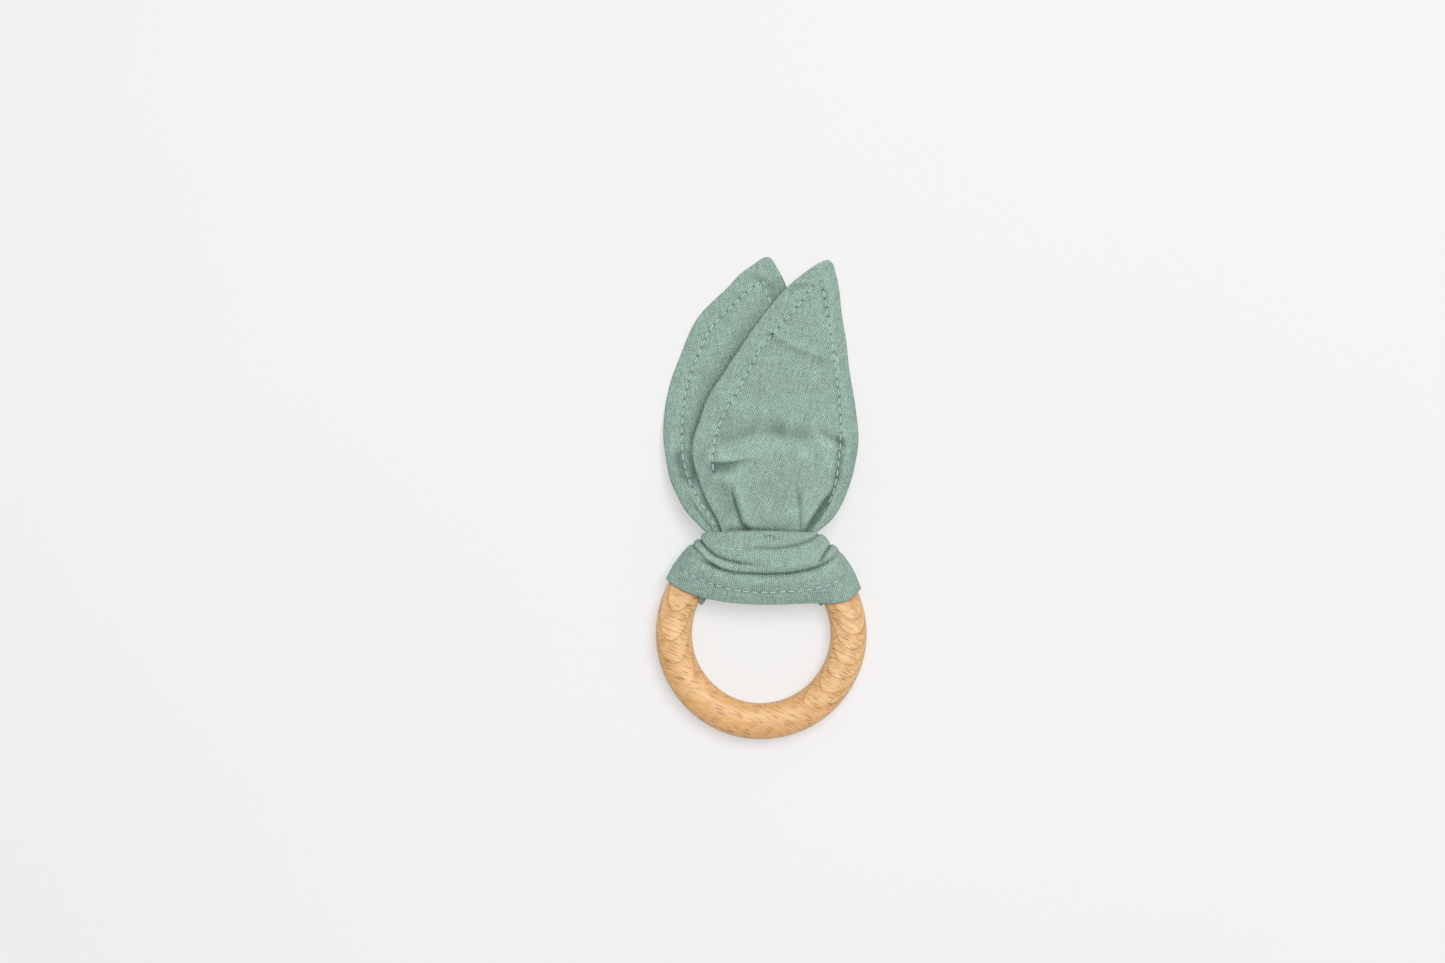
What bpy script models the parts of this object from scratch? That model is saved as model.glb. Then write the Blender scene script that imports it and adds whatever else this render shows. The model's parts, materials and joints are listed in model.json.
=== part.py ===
"""Teething ring: a turned beech ring with a sewn cloth strip tied on it, whose two ends are leaf-shaped ears.

The object lies flat on a table. +Z is up, the ears point along +Y, and the ring is at the -Y end.
The origin is the centre of the bounding box at table level. Lengths are in millimetres here and
become metres in point().
"""
import math

import bmesh
import bpy
from mathutils import Vector

MM = 0.001

# overall
LENGTH = 160.4
GAP = 0.3                      # clearance kept between neighbouring bodies

# wooden ring
RING_OUTER_R = 35.0
RING_INNER_R = 23.0
BAR_DEPTH = 11.0               # thickness of the ring along Z
BAR_SQUARENESS = 2.35          # 2 is an ellipse, more is squarer
RING_SEGMENTS = 60
BAR_SEGMENTS = 20

# cloth
PANEL = 0.6                    # one layer of cloth
EAR_HOLLOW = 0.9               # room between an ear's two panels, for the turned seam allowance
EAR_SPACING = 0.9              # room between the two ears, for the rear ear's topstitch
UNDER_RING = 1.0               # cloth squeezed between the ring and the table
THREAD_R = 0.15

# where the strip leaves the knot
DRAPE_START = 14.0             # distance from the pivot at which the ears start to sink
DRAPE_END = 62.0               # distance from the pivot at which they lie on the table
FOLD_LINE_Y = -3.0             # the front ear lifts about this line

BAR_R = (RING_OUTER_R + RING_INNER_R) / 2
BAR_HALF_WIDTH = (RING_OUTER_R - RING_INNER_R) / 2
BAR_HALF_DEPTH = BAR_DEPTH / 2
RING_Y = -LENGTH / 2 + RING_OUTER_R
RING_Z = UNDER_RING + GAP + BAR_HALF_DEPTH
RING_TOP = RING_Z + BAR_HALF_DEPTH
PIVOT_Y = RING_Y + BAR_R       # both ears swing about this point on the bar

EAR_THICKNESS = 2 * PANEL + EAR_HOLLOW
REAR_EAR_Z = RING_TOP + GAP                     # underside of the rear ear in the knot
FRONT_EAR_Z = REAR_EAR_Z + EAR_THICKNESS + EAR_SPACING
NECK_TOP = FRONT_EAR_Z + EAR_THICKNESS

# Half outlines of the ears: y, then x of the left and the right edge. The knot is at the first row, the
# tip at the last.
REAR_EAR_OUTLINE = [
    (-25.0, -11.0, 11.0),
    (-16.0, -13.0, 13.0),
    (-9.5, -15.5, 14.0),
    (-5.0, -22.0, 16.0),
    (0.8, -27.9, 19.5),
    (11.4, -31.3, 22.5),
    (22.0, -32.5, 21.5),
    (38.0, -30.2, 16.0),
    (53.9, -24.2, 11.0),
    (64.5, -16.6, 9.8),
    (73.0, -8.0, 7.6),
    (78.0, -1.5, 5.2),
    (LENGTH / 2, 1.6, 4.0),
]
FRONT_EAR_OUTLINE = [
    (FOLD_LINE_Y + GAP, -18.0, 26.3),
    (2.5, -19.9, 28.9),
    (11.4, -22.4, 31.2),
    (19.1, -22.6, 32.5),
    (32.4, -18.0, 31.2),
    (51.3, -6.0, 28.5),
    (66.2, 5.6, 26.2),
    (74.8, 14.6, 24.9),
    (79.1, 20.4, 23.0),
]
FRONT_NECK_OUTLINE = [
    (-25.0, -11.0, 11.0),
    (-16.0, -13.0, 13.0),
    (-9.5, -14.0, 15.0),
    (FOLD_LINE_Y, -14.5, 16.0),
]

# The knot's front loop seen from above: its top edge, turned over the ring's outer edge at both ends,
# and its hem. Both run from left to right.
LOOP_TOP_EDGE = [
    (-30.6, -26.2), (-25.4, -18.6), (-19.4, -12.2), (-10.0, -10.9), (0.0, -10.8),
    (10.0, -10.8), (19.4, -12.0), (25.6, -19.4), (31.6, -28.2),
]
LOOP_HEM_EDGE = [
    (-31.2, -27.8), (-25.5, -30.4), (-19.2, -32.7), (-9.6, -34.6), (0.0, -35.2),
    (10.0, -35.1), (20.2, -34.7), (27.0, -33.7), (32.6, -30.6),
]
TUNNEL_R = 18.0                # room under the loop in which the necks can swing
TUNNEL_FADE = 9.0
HEM_DROOP = 3.5                # how far the hem sags into the hole
HEM_DROOP_START = -27.0
ROLL_THICKNESS = 3.6           # gathered cloth over the necks
HEM_THICKNESS = 1.9

# angular extent of the two wraps around the bar, about the ring's axis
LEFT_WRAP = (104.0, 151.0)
RIGHT_WRAP = (29.0, 76.0)
WRAP_THICKNESS = 1.8
WRAP_START = 2.0               # from the outer equator of the bar, under it, to its inner side
WRAP_END = -204.0


def point(x, y, z):
    return Vector((x, y, z)) * MM


def smoothstep(t):
    t = min(max(t, 0.0), 1.0)
    return t * t * (3 - 2 * t)


def through(values, t):
    """Smooth curve through equally spaced values, read at t from 0 to 1."""
    s = min(max(t, 0.0), 1.0) * (len(values) - 1)
    i = min(int(s), len(values) - 2)
    f = s - i
    p1, p2 = values[i], values[i + 1]
    p0 = values[i - 1] if i > 0 else 2 * p1 - p2
    p3 = values[i + 2] if i + 2 < len(values) else 2 * p2 - p1
    return p1 + 0.5 * f * (p2 - p0 + f * (2 * p0 - 5 * p1 + 4 * p2 - p3 + f * (3 * (p1 - p2) + p3 - p0)))


def path_through(points, t):
    return tuple(through([p[axis] for p in points], t) for axis in range(len(points[0])))


# ---------------------------------------------------------------- building blocks

def material(name, colour, roughness):
    made = bpy.data.materials.new(name)
    made.use_nodes = True
    shader = made.node_tree.nodes["Principled BSDF"]
    shader.inputs["Base Color"].default_value = (*colour, 1.0)
    shader.inputs["Roughness"].default_value = roughness
    shader.inputs["Metallic"].default_value = 0.0
    return made


def add_object(name, bm, colour, roughness, pivot, parent):
    """Puts the mesh in the scene with its origin on the pivot of the body that it belongs to."""
    bmesh.ops.recalc_face_normals(bm, faces=bm.faces)
    bmesh.ops.translate(bm, verts=bm.verts, vec=-pivot)
    mesh = bpy.data.meshes.new(name)
    bm.to_mesh(mesh)
    bm.free()
    mesh.shade_smooth()
    mesh.set_sharp_from_angle(angle=math.radians(40))
    mesh.materials.append(material(name + "_finish", colour, roughness))
    made = bpy.data.objects.new(name, mesh)
    bpy.context.scene.collection.objects.link(made)
    made.parent = parent
    made.location = pivot - (parent.matrix_world.translation if parent else Vector())
    return made


def add_pivot(name, place, parent=None):
    made = bpy.data.objects.new(name, None)
    made.empty_display_size = 10 * MM
    bpy.context.scene.collection.objects.link(made)
    made.parent = parent
    made.location = place - (parent.matrix_world.translation if parent else Vector())
    bpy.context.view_layer.update()
    return made


def body_between(lower, upper):
    """A closed body between two grids of points that have the same rows and columns."""
    bm = bmesh.new()
    low = [[bm.verts.new(p) for p in row] for row in lower]
    top = [[bm.verts.new(p) for p in row] for row in upper]
    rows, columns = len(low), len(low[0])
    for i in range(rows - 1):
        for j in range(columns - 1):
            bm.faces.new((top[i][j], top[i + 1][j], top[i + 1][j + 1], top[i][j + 1]))
            bm.faces.new((low[i][j], low[i][j + 1], low[i + 1][j + 1], low[i + 1][j]))
    rim = [(0, j) for j in range(columns)]
    rim += [(i, columns - 1) for i in range(1, rows)]
    rim += [(rows - 1, j) for j in range(columns - 2, -1, -1)]
    rim += [(i, 0) for i in range(rows - 2, 0, -1)]
    for (i, j), (k, m) in zip(rim, rim[1:] + rim[:1]):
        bm.faces.new((low[i][j], top[i][j], top[k][m], low[k][m]))
    return bm


def thread(path, sides=4):
    """A closed thin tube along a path."""
    bm = bmesh.new()
    loops = []
    for i, here in enumerate(path):
        along = (path[min(i + 1, len(path) - 1)] - path[max(i - 1, 0)]).normalized()
        side = along.cross(Vector((0, 0, 1))).normalized()
        up = side.cross(along)
        angles = [math.tau * (k + 0.5) / sides for k in range(sides)]
        around = [math.cos(a) * side + math.sin(a) * up for a in angles]
        loops.append([bm.verts.new(here + THREAD_R * MM * step) for step in around])
    for a, b in zip(loops, loops[1:]):
        for k in range(sides):
            n = (k + 1) % sides
            bm.faces.new((a[k], a[n], b[n], b[k]))
    bm.faces.new(loops[0])
    bm.faces.new(loops[-1])
    return bm


# ---------------------------------------------------------------- ring

def bar_offset(angle, grown=0.0):
    """Radial and vertical offset from the bar's centre of a point on its section, grown outwards."""
    c, s = math.cos(angle), math.sin(angle)
    power = 2 / BAR_SQUARENESS
    across = (BAR_HALF_WIDTH + grown) * math.copysign(abs(c) ** power, c)
    up = (BAR_HALF_DEPTH + grown) * math.copysign(abs(s) ** power, s)
    return across, up


def on_ring(theta, radius, z):
    return point(radius * math.cos(theta), RING_Y + radius * math.sin(theta), z)


def wooden_ring(parent):
    bm = bmesh.new()
    loops = []
    for i in range(RING_SEGMENTS):
        theta = math.tau * i / RING_SEGMENTS
        loop = []
        for k in range(BAR_SEGMENTS):
            across, up = bar_offset(math.tau * k / BAR_SEGMENTS)
            loop.append(bm.verts.new(on_ring(theta, BAR_R + across, RING_Z + up)))
        loops.append(loop)
    for a, b in zip(loops, loops[1:] + loops[:1]):
        for k in range(BAR_SEGMENTS):
            n = (k + 1) % BAR_SEGMENTS
            bm.faces.new((a[k], b[k], b[n], a[n]))
    add_object("wooden_ring", bm, (0.70, 0.45, 0.23), 0.45, point(0, RING_Y, 0), parent)


# ---------------------------------------------------------------- knot

def loop_plan(u, v):
    """Place of a point of the knot's front loop seen from above: u from left to right, v from top to hem."""
    top = path_through(LOOP_TOP_EDGE, u)
    hem = path_through(LOOP_HEM_EDGE, u)
    return tuple(a + (b - a) * v for a, b in zip(top, hem))


def loop_underside(x, y):
    """Height of the loop's underside: over the necks in the middle, on the bar at both ends."""
    across = math.hypot(x, y - RING_Y) - BAR_R
    over_bar = RING_TOP + GAP
    if across > 0:
        reach = min(across / (BAR_HALF_WIDTH + 3.2), 1.0)
        fall = 1 - (1 - reach ** BAR_SQUARENESS) ** (1 / BAR_SQUARENESS)
        over_bar -= fall * (BAR_HALF_DEPTH - 0.6)
    off_pivot = math.hypot(x, y - PIVOT_Y)
    over_necks = NECK_TOP + GAP
    in_tunnel = 1 - smoothstep((off_pivot - TUNNEL_R) / TUNNEL_FADE)
    droop = HEM_DROOP * smoothstep((HEM_DROOP_START - y) / 9.0) * in_tunnel
    return over_bar + (over_necks - over_bar) * in_tunnel - droop


def loop_thickness(u, v):
    middle = smoothstep(u / 0.3) * smoothstep((1 - u) / 0.3)
    rolls = math.sin(math.pi * min(max((v + 0.12) / 1.0, 0.0), 1.0)) ** 0.7
    return HEM_THICKNESS + (ROLL_THICKNESS - HEM_THICKNESS) * middle * rolls


def loop_top(u, v):
    x, y = loop_plan(u, v)
    return x, y, loop_underside(x, y) + loop_thickness(u, v)


def knot_loop(parent, pivot, columns=26, rows=11):
    lower, upper = [], []
    for j in range(rows):
        v = j / (rows - 1)
        places = [(i / (columns - 1), v) for i in range(columns)]
        plan = [loop_plan(u, v) for u, v in places]
        lower.append([point(x, y, loop_underside(x, y)) for x, y in plan])
        upper.append([point(*loop_top(u, v)) for u, v in places])
    add_object("knot_loop", body_between(lower, upper), (0.30, 0.42, 0.35), 0.9, pivot, parent)


def knot_topstitch(parent, pivot, count=36):
    """The row of stitches that runs along the loop's hem."""
    path = []
    for i in range(count):
        u = 0.06 + 0.88 * i / (count - 1)
        v = 1 - 0.17 * smoothstep(min(u, 1 - u) / 0.2)
        x, y, z = loop_top(u, v)
        path.append(point(x, y, z + GAP + THREAD_R))
    add_object("knot_topstitch", thread(path), (0.42, 0.55, 0.48), 0.7, pivot, parent)


def wrap(name, span, parent, pivot, across=8, around=19):
    """Cloth that turns round the bar's outer edge, passes under it and comes up inside the hole."""
    inner, outer = [], []
    for i in range(across):
        theta = math.radians(span[0] + (span[1] - span[0]) * i / (across - 1))
        near, far = [], []
        for k in range(around):
            phi = math.radians(WRAP_START + (WRAP_END - WRAP_START) * k / (around - 1))
            for grown, row in ((GAP, near), (GAP + WRAP_THICKNESS, far)):
                r, up = bar_offset(phi, grown)
                row.append(on_ring(theta, BAR_R + r, max(RING_Z + up, 0.0)))
        inner.append(near)
        outer.append(far)
    add_object(name, body_between(inner, outer), (0.28, 0.40, 0.33), 0.9, pivot, parent)


# ---------------------------------------------------------------- ears

def edges_at(outline, y):
    """Left and right edge of an ear at a given y, on a smooth curve through the outline's rows."""
    rows = len(outline)
    i = max(k for k in range(rows - 1) if outline[k][0] <= y + 1e-9)
    a, b = outline[i], outline[i + 1]
    before = outline[max(i - 1, 0)]
    after = outline[min(i + 2, rows - 1)]
    f = (y - a[0]) / (b[0] - a[0])
    found = []
    for side in (1, 2):
        slope_a = (b[side] - before[side]) / (b[0] - before[0])
        slope_b = (after[side] - a[side]) / (after[0] - a[0])
        step = b[0] - a[0]
        found.append((2 * f ** 3 - 3 * f ** 2 + 1) * a[side] + (f ** 3 - 2 * f ** 2 + f) * step * slope_a
                     + (3 * f ** 2 - 2 * f ** 3) * b[side] + (f ** 3 - f ** 2) * step * slope_b)
    return found


def drape(x, y, height):
    """The ears sink from the knot to the table. The height depends only on the distance from the pivot,
    so the ears can swing over each other."""
    far = math.hypot(x, y - PIVOT_Y)
    return height - REAR_EAR_Z * smoothstep((far - DRAPE_START) / (DRAPE_END - DRAPE_START))


def stations(outline):
    """The y of each row of points: the outline's own rows and one between each two."""
    own = [row[0] for row in outline]
    between = [(a + b) / 2 for a, b in zip(own, own[1:])]
    return sorted(own + between)


def ear_layer(outline, height, thickness, crown=0.0, columns=9):
    """One layer of an ear. Its underside is at a height above the drape; crown puffs up its middle."""
    lower, upper = [], []
    rows = stations(outline)
    for y in rows:
        left, right = edges_at(outline, y)
        along = (y - rows[0]) / (rows[-1] - rows[0])
        low, top = [], []
        for j in range(columns):
            f = j / (columns - 1)
            x = left + (right - left) * f
            z = drape(x, y, height)
            puff = crown * (4 * f * (1 - f)) ** 0.6 * math.sin(math.pi * along) ** 0.6
            low.append(point(x, y, z))
            top.append(point(x, y, z + thickness + puff))
        lower.append(low)
        upper.append(top)
    return body_between(lower, upper)


def edge_path(outline, inset, height, start_y, count=15):
    """A path up the left edge, round the tip and down the right edge, at a distance inside the edge."""
    tip_y = outline[-1][0] - inset * 1.3
    left, right = [], []
    for i in range(count):
        y = start_y + (tip_y - start_y) * math.sin(math.pi / 2 * i / (count - 1))
        edges = edges_at(outline, y)
        slopes = [(b - a) / 0.5 for a, b in zip(edges_at(outline, y - 0.25), edges_at(outline, y + 0.25))]
        for side, (x, slope), path in zip((1, -1), zip(edges, slopes), (left, right)):
            path.append((x + side * inset * math.hypot(1, slope), y))
    while left[-1][0] > right[-1][0] - 0.8:
        left.pop()
        right.pop()
    tip = ((left[-1][0] + right[-1][0]) / 2, (left[-1][1] + tip_y) / 2 + 0.4)
    plan = left + [tip] + right[::-1]
    return [point(x, y, drape(x, y, height)) for x, y in plan]


def ear(name, outline, height, crown, parent, pivot, thread_start):
    """Two cloth panels, the seam thread between them and the topstitch on the face."""
    cloth = (0.29, 0.41, 0.34)
    middle = height + PANEL + EAR_HOLLOW / 2
    add_object(name + "_back_panel", ear_layer(outline, height, PANEL), cloth, 0.9, pivot, parent)
    add_object(name + "_face_panel", ear_layer(outline, height + PANEL + EAR_HOLLOW, PANEL, crown),
               cloth, 0.9, pivot, parent)
    seam = thread(edge_path(outline, 0.8, middle, thread_start))
    add_object(name + "_edge_seam", seam, (0.42, 0.55, 0.48), 0.7, pivot, parent)
    on_face = height + EAR_THICKNESS + crown + GAP + THREAD_R
    topstitch = thread(edge_path(outline, 5.6, on_face, thread_start))
    add_object(name + "_topstitch", topstitch, (0.42, 0.55, 0.48), 0.7, pivot, parent)


def front_ear_neck(parent, pivot):
    neck = ear_layer(FRONT_NECK_OUTLINE, FRONT_EAR_Z, EAR_THICKNESS)
    add_object("front_ear_neck", neck, (0.29, 0.41, 0.34), 0.9, pivot, parent)


# ---------------------------------------------------------------- assembly

def build():
    for old in list(bpy.data.objects):
        bpy.data.objects.remove(old)

    ring_centre = point(0, RING_Y, 0)
    knot_centre = point(0, PIVOT_Y, RING_TOP)
    fold = point(0, FOLD_LINE_Y, NECK_TOP)

    ring = add_pivot("ring_frame", ring_centre)
    tie = add_pivot("tie_slides_round_ring", ring_centre, ring)
    rear_swing = add_pivot("rear_ear_swing", knot_centre, tie)
    front_swing = add_pivot("front_ear_swing", knot_centre, tie)
    front_lift = add_pivot("front_ear_lift", fold, front_swing)

    wooden_ring(ring)
    knot_loop(tie, ring_centre)
    knot_topstitch(tie, ring_centre)
    wrap("left_wrap", LEFT_WRAP, tie, ring_centre)
    wrap("right_wrap", RIGHT_WRAP, tie, ring_centre)
    ear("rear_ear", REAR_EAR_OUTLINE, REAR_EAR_Z, 0.0, rear_swing, knot_centre, 4.0)
    front_ear_neck(front_swing, knot_centre)
    ear("front_ear", FRONT_EAR_OUTLINE, FRONT_EAR_Z, 0.5, front_lift, fold, 1.0)


build()
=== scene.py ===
"""Looks of the teething ring: beech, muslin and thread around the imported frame.

Lengths are in millimetres here and become metres when a mesh is made.
"""
import json
import math

import bmesh
import bpy
import numpy as np
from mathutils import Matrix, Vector


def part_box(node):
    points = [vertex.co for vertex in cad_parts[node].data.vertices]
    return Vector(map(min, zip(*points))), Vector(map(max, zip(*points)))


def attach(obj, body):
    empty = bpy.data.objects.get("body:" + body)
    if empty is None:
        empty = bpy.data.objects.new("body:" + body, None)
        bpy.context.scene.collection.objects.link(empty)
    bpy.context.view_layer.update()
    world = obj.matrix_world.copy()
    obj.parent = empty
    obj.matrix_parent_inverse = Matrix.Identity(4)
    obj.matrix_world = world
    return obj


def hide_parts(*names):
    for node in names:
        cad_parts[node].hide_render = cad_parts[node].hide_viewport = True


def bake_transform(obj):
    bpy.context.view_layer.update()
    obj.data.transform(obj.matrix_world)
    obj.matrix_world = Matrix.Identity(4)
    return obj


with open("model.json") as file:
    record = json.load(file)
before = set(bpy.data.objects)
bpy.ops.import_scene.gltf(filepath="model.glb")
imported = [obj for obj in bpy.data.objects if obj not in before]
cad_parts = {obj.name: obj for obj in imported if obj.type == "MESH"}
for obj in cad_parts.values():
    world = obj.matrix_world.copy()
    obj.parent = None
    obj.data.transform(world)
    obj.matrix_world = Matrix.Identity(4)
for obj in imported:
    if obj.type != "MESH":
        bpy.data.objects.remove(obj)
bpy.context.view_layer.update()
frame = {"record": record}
MM = 0.001


# ---- places read from the frame

def frame_box(node):
    low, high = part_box(node)
    return np.array(low) / MM, np.array(high) / MM


def joint_place(name):
    joint = next(j for j in frame["record"]["behaviour"]["joints"] if j["name"] == name)
    return np.array(joint["pos_m"]) / MM


RING_LOW, RING_HIGH = frame_box("wooden_ring")
RING_Y = (RING_LOW[1] + RING_HIGH[1]) / 2
RING_Z = (RING_LOW[2] + RING_HIGH[2]) / 2
BAR_HALF_DEPTH = (RING_HIGH[2] - RING_LOW[2]) / 2
BAR_HALF_WIDTH = 6.0
BAR_R = (RING_HIGH[0] - RING_LOW[0]) / 2 - BAR_HALF_WIDTH
BAR_POWER = 2 / 2.35  # of the cosine and sine that shape its section; 1 is an ellipse

PIVOT = joint_place("rear_ear_swing")
NECK_TOP = frame_box("front_ear_neck")[1][2]
EAR_THICKNESS = 2.1
REAR_EAR_Z = RING_HIGH[2] + 0.3
FRONT_EAR_Z = NECK_TOP - EAR_THICKNESS
REAR_TIP_Y = frame_box("rear_ear_back_panel")[1][1]
FRONT_TIP_Y = frame_box("front_ear_back_panel")[1][1]
DRAPE_START = 14.0  # from the swing point, how far the ears run level
DRAPE_END = 62.0  # and where they have come down to the table


# ---- curves and distances

def smoothstep(t):
    t = np.clip(t, 0.0, 1.0)
    return t * t * (3 - 2 * t)


def rise(value, start, end):
    """0 at start, 1 at end and smooth between them, and held beyond; start may be the larger one."""
    return smoothstep((value - start) / (end - start))


def curve(knots, values, at):
    """Smooth curve through values at increasing knots, read at each of at."""
    knots, values, at = (np.asarray(a, float) for a in (knots, values, at))
    slopes = np.gradient(values, knots, axis=0)
    i = np.clip(np.searchsorted(knots, at) - 1, 0, len(knots) - 2)
    step = knots[i + 1] - knots[i]
    f = (at - knots[i]) / step
    if values.ndim > 1:
        f = f[:, None]
        step = step[:, None]
    a = (2 * f ** 3 - 3 * f ** 2 + 1) * values[i]
    b = (3 * f ** 2 - 2 * f ** 3) * values[i + 1]
    return a + b + step * ((f ** 3 - 2 * f ** 2 + f) * slopes[i] + (f ** 3 - f ** 2) * slopes[i + 1])


def run_lengths(points):
    return np.r_[0, np.cumsum(np.linalg.norm(np.diff(points, axis=0), axis=1))]


def smooth_path(points, count):
    """Points at even steps along a smooth curve through the given points."""
    points = np.asarray(points, float)
    knots = run_lengths(points)
    dense = curve(knots, points, np.linspace(0, knots[-1], 12 * len(points)))
    run = run_lengths(dense)
    at = np.linspace(0, run[-1], count)
    return np.stack([np.interp(at, run, dense[:, k]) for k in range(points.shape[1])], axis=1)


def nearest(x, y, path):
    """Distance to a plan path, the side of it (+1 left of its direction) and the share of its length."""
    shape = x.shape
    p = np.stack([x.ravel(), y.ravel()], axis=1)
    best = np.full(len(p), np.inf)
    side = np.ones(len(p))
    along = np.zeros(len(p))
    for k, (a, b) in enumerate(zip(path[:-1], path[1:])):
        run = b[:2] - a[:2]
        t = np.clip(((p - a[:2]) @ run) / (run @ run), 0, 1)
        off = p - a[:2] - t[:, None] * run
        d = np.hypot(off[:, 0], off[:, 1])
        closer = d < best
        best[closer] = d[closer]
        side[closer] = np.sign(run[0] * off[:, 1] - run[1] * off[:, 0])[closer]
        along[closer] = ((k + t) / (len(path) - 1))[closer]
    return best.reshape(shape), side.reshape(shape), along.reshape(shape)


def taper(along, start, end):
    """1 along a fold, fading to 0 at an end whose share of the length is above 0."""
    fade = np.ones_like(along)
    if start > 0:
        fade = fade * smoothstep(along / start)
    if end > 0:
        fade = fade * smoothstep((1 - along) / end)
    return fade


def roll(d, width):
    """Quarter-round profile of the cloth beside a crease: 1 in the crease and 0 from width away."""
    q = np.clip(1 - d / width, 0, 1)
    return 1 - np.sqrt(1 - q * q)


def hump(d, width):
    """Soft profile of a wrinkle: 1 in its middle, fading out over about its width."""
    return np.exp(-(d / width) ** 2)


def fold(x, y, profile, points, depth, left, right, fade=(0.3, 0.3)):
    """How far one fold, a row of the tables for the ears, draws the cloth in."""
    d, side, along = nearest(x, y, smooth_path(points, 4 * len(points)))
    return depth * taper(along, *fade) * profile(d, np.where(side > 0, left, right))


def drawn_in(x, y, creases, wrinkles):
    """How far all the folds draw the cloth in: sharp creases and soft wrinkles."""
    drawn = np.zeros_like(x)
    for profile, rows in ((roll, creases), (hump, wrinkles)):
        for row in rows:
            drawn += fold(x, y, profile, *row)
    return drawn


WAVE_COUNT = 9
WAVE_SIZES = (0.6, 1.8)  # shortest and longest wave, as shares of the size asked for
WAVE_PEAK = 4  # about the height that so many waves reach together


def waves(x, y, size, seed):
    """Soft uneven relief between about -1 and 1, made of a few crossing waves."""
    rng = np.random.default_rng(seed)
    total = np.zeros_like(x)
    for _ in range(WAVE_COUNT):
        angle, phase = rng.uniform(0, math.tau, 2)
        k = math.tau / (size * rng.uniform(*WAVE_SIZES))
        total += np.sin(k * (x * math.cos(angle) + y * math.sin(angle)) + phase)
    return total / WAVE_PEAK


# ---- meshes

def link_object(name, data):
    made = bpy.data.objects.new(name, data)
    bpy.context.scene.collection.objects.link(made)
    return made


def new_mesh(name, points, faces, flat_from=None):
    """A smooth closed mesh with its faces outwards. Faces from number flat_from on are caps, left flat."""
    mesh = bpy.data.meshes.new(name)
    mesh.from_pydata((np.asarray(points) * MM).tolist(), [], faces)
    work = bmesh.new()
    work.from_mesh(mesh)
    bmesh.ops.recalc_face_normals(work, faces=work.faces)
    work.to_mesh(mesh)
    work.free()
    smooth = np.ones(len(faces), bool)
    smooth[flat_from or len(faces):] = False
    mesh.polygons.foreach_set("use_smooth", smooth)
    mesh.update()
    return link_object(name, mesh)


def tube_faces(rows, columns, offset=0, around=False):
    """Quads between rows that are closed loops of columns points; around joins the last row to the first."""
    count = rows if around else rows - 1
    i, j = np.meshgrid(np.arange(count), np.arange(columns), indexing="ij")
    n = (j + 1) % columns
    m = (i + 1) % rows
    quads = np.stack([i * columns + j, m * columns + j, m * columns + n, i * columns + n], -1)
    return (quads.reshape(-1, 4) + offset).tolist()


def cloth_shell(name, top, bottom, weave, shade):
    """A closed body of cloth from the grids of its upper and lower side.

    weave is each point's place in the cloth in millimetres, kept as a UV map, and shade the painted shade
    of its folds, from 0 to 1, with a painted highlight below 0.
    """
    rows, columns = top.shape[:2]
    loop = np.concatenate([top, bottom[:, ::-1]], axis=1)
    loop_weave = np.concatenate([weave, weave[:, ::-1]], axis=1).reshape(-1, 2)
    loop_shade = np.concatenate([shade, np.zeros_like(shade)], axis=1)
    faces = tube_faces(rows, 2 * columns)
    caps = len(faces)
    for start in (0, (rows - 1) * 2 * columns):
        end = start + 2 * columns - 1
        faces += [[start + j, start + j + 1, end - j - 1, end - j] for j in range(columns - 1)]
    made = new_mesh(name, loop.reshape(-1, 3), faces, caps)
    layer = made.data.uv_layers.new(name="weave")
    index = np.zeros(len(made.data.loops), np.int32)
    made.data.loops.foreach_get("vertex_index", index)
    layer.data.foreach_set("uv", (loop_weave[index] * MM).astype(np.float32).ravel())
    attribute = made.data.attributes.new("fold_shade", "FLOAT", "POINT")
    attribute.data.foreach_set("value", loop_shade.astype(np.float32).ravel())
    return made


def grid_normals(grid):
    """Unit normal of a grid at each of its points."""
    along_rows = np.gradient(grid, axis=0)
    along_columns = np.gradient(grid, axis=1)
    n = np.cross(along_columns, along_rows)
    return n / np.maximum(np.linalg.norm(n, axis=-1, keepdims=True), 1e-9)


def smooth_heights(heights, passes):
    """Heights of a grid after each was drawn to the mean of its neighbours so many times."""
    heights = np.pad(heights, 1, mode="edge")
    for _ in range(passes):
        inner = (heights[:-2, 1:-1] + heights[2:, 1:-1] + heights[1:-1, :-2] + heights[1:-1, 2:]) / 4
        heights = np.pad((heights[1:-1, 1:-1] + 3 * inner) / 4, 1, mode="edge")
    return heights[1:-1, 1:-1]


NEAREST_POINTS = 6
NEAREST_SOFTENING = 0.05  # keeps the share of a grid point that lies under the path finite


def on_surface(grid, path):
    """Height of a grid at each plan point of a path, from the grid points nearest to it."""
    flat = grid.reshape(-1, 3)
    heights = []
    for point in path:
        d = np.hypot(flat[:, 0] - point[0], flat[:, 1] - point[1])
        near = np.argpartition(d, NEAREST_POINTS)[:NEAREST_POINTS]
        share = 1 / (d[near] + NEAREST_SOFTENING) ** 2
        heights.append((flat[near, 2] * share).sum() / share.sum())
    return np.array(heights)


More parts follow.
